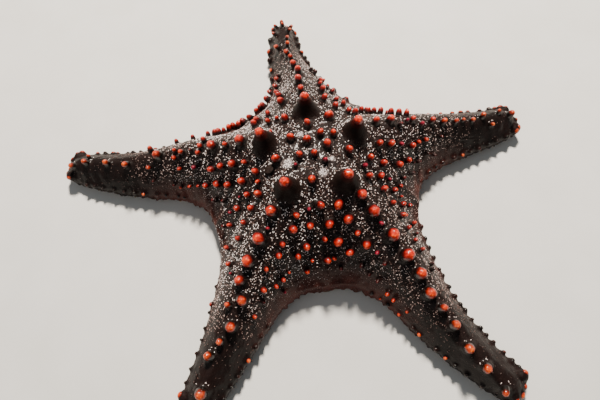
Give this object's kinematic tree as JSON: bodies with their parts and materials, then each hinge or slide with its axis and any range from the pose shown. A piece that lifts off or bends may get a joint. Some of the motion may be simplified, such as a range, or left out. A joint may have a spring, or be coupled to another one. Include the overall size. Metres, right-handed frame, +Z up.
{
  "type": "starfish",
  "caption": "Still, life-size model of a knobby cushion star lying on its underside, with a domed disc, blunt curved arms and rows of tubercles.",
  "frame": {"origin": "on the floor, under the middle of the whole star's box", "axes": "+Z up, out of the back of the star; +Y towards the arm that points away from the viewer of the picture"},
  "size_m": [0.2274, 0.2072, 0.0513],
  "materials": {
    "skin": "wet, dark brown to black, finely granular",
    "tubercle": "wet orange-red",
    "sieve_plate": "matt, finely furrowed",
    "mouth_membrane": "soft, slightly wet",
    "eyespot": "wet red"
  },
  "bodies": {
    "root": {"disc": "skin", "arm_north": "skin", "arm_west": "skin", "arm_southwest": "skin", "arm_southeast": "skin", "arm_east": "skin", "madreporite": "sieve_plate", "mouth": "mouth_membrane", "eyespot_north": "eyespot", "eyespot_west": "eyespot", "eyespot_southwest": "eyespot", "eyespot_southeast": "eyespot", "eyespot_east": "eyespot"}
  },
  "joints": []
}
